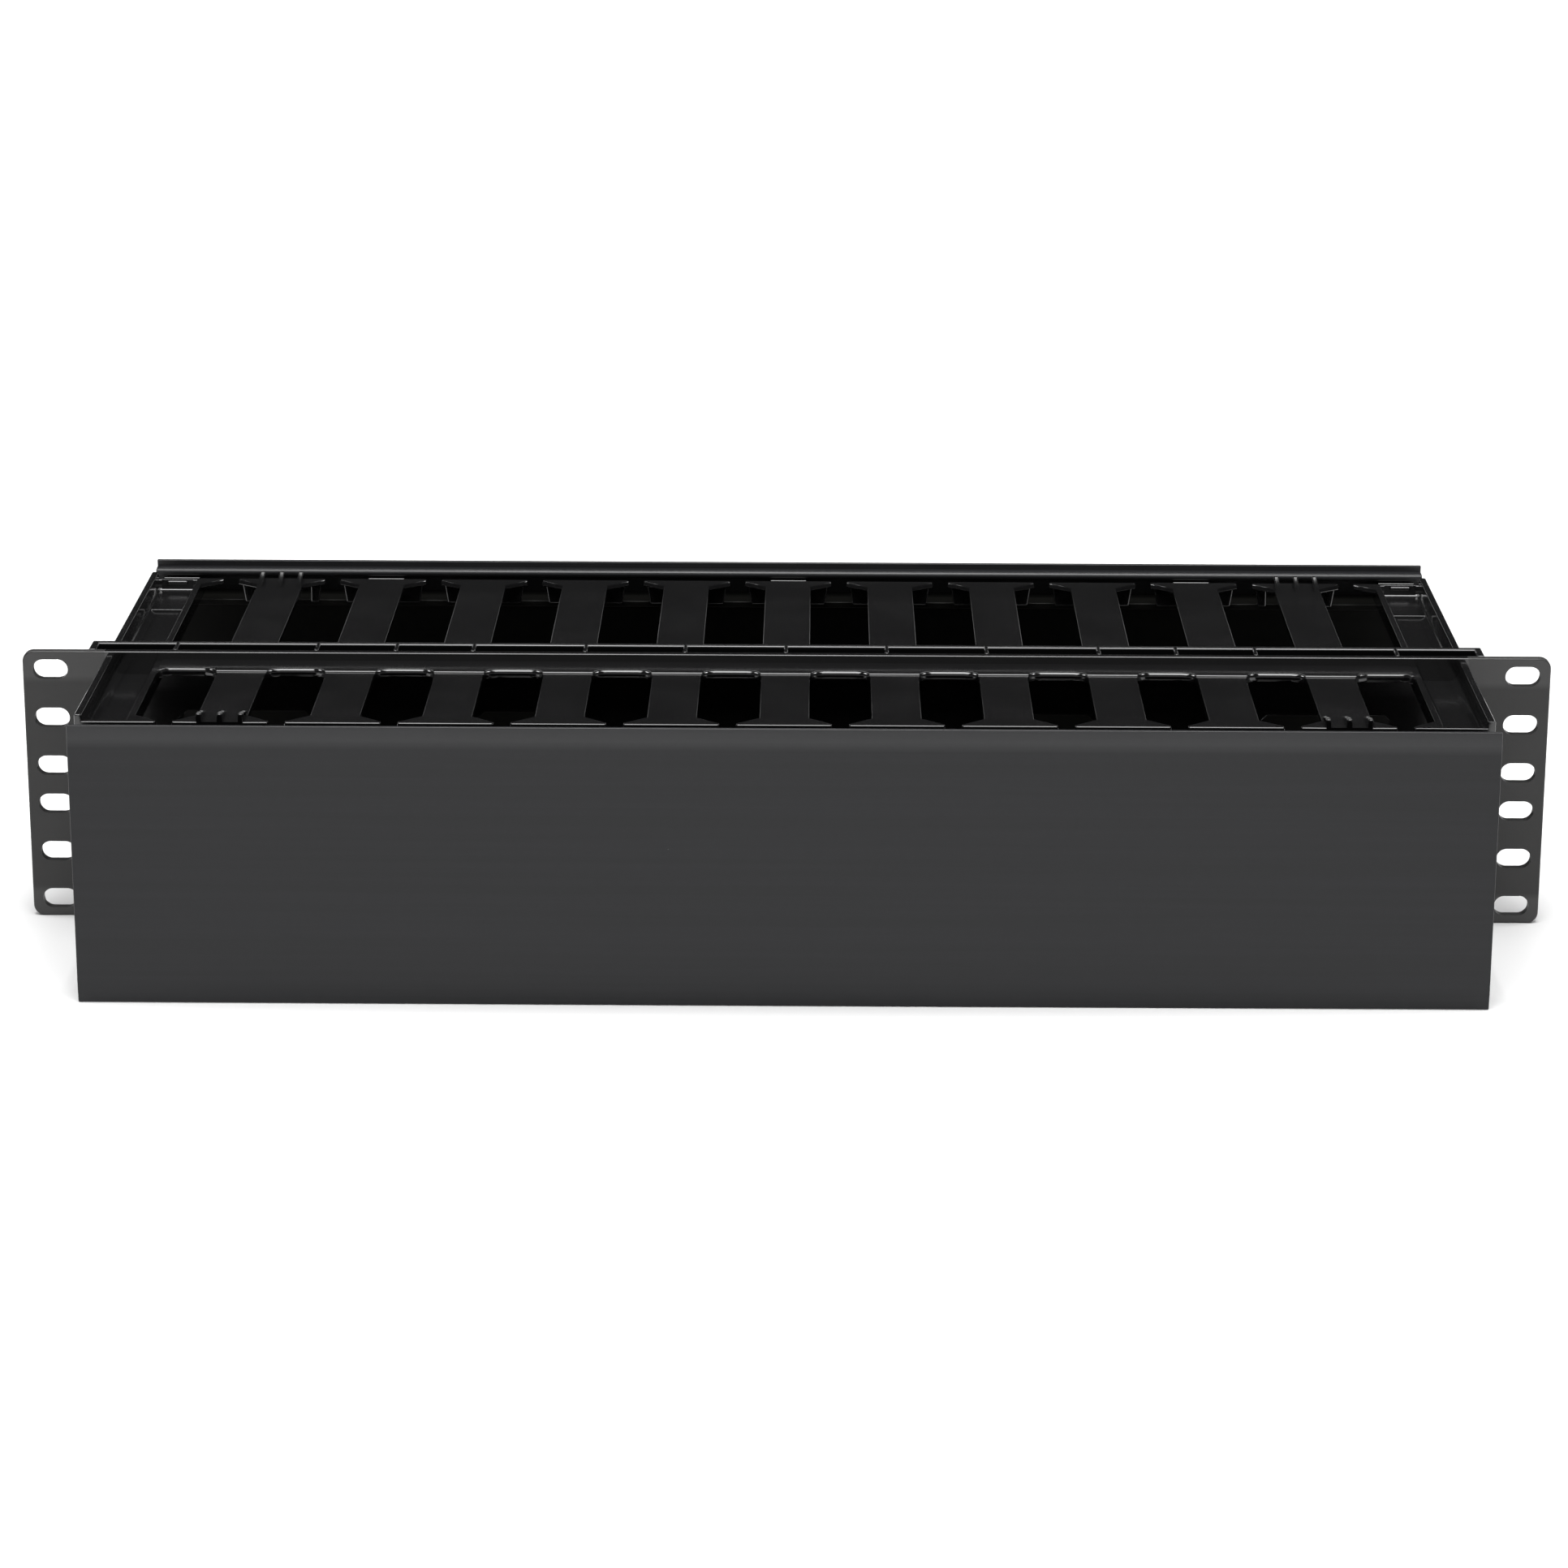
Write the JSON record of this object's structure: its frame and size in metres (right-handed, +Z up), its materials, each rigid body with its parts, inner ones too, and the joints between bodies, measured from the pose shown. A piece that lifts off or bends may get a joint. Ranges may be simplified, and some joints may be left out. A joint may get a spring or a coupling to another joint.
{
  "type": "horizontal cable manager",
  "caption": "Rack-mount horizontal cable manager with finger ducts at the front and rear, each closed by a full-width hinged cover.",
  "frame": {"origin": "centre of the rack slot pattern on the rear face of the ears, where they meet the rack rails", "axes": "+X along the rack width, +Y to the back of the rack, +Z up"},
  "size_m": [0.4826, 0.2, 0.0882],
  "materials": {
    "panel_plastic": "black moulded plastic, satin on the ears and glossy in the troughs",
    "duct_plastic": "black moulded plastic with a gloss",
    "cover_plastic": "black extruded plastic with a satin sheen and faint lines along its length",
    "screw_steel": "black zinc"
  },
  "bodies": {
    "base": {"front_panel": "panel_plastic", "rear_duct": "duct_plastic", "joining_screws": "screw_steel"},
    "front_cover": {"front_cover": "cover_plastic"},
    "rear_cover": {"rear_cover": "cover_plastic"}
  },
  "joints": [
    {"name": "front_cover_hinge", "type": "hinge", "parent": "base", "child": "front_cover", "pos_m": [0, -0.0801, 0.037], "axis": [-1, 0, 0], "range_deg": [0, 90]},
    {"name": "rear_cover_hinge", "type": "hinge", "parent": "base", "child": "rear_cover", "pos_m": [0, 0.1101, 0.037], "axis": [1, 0, 0], "range_deg": [0, 90]}
  ]
}
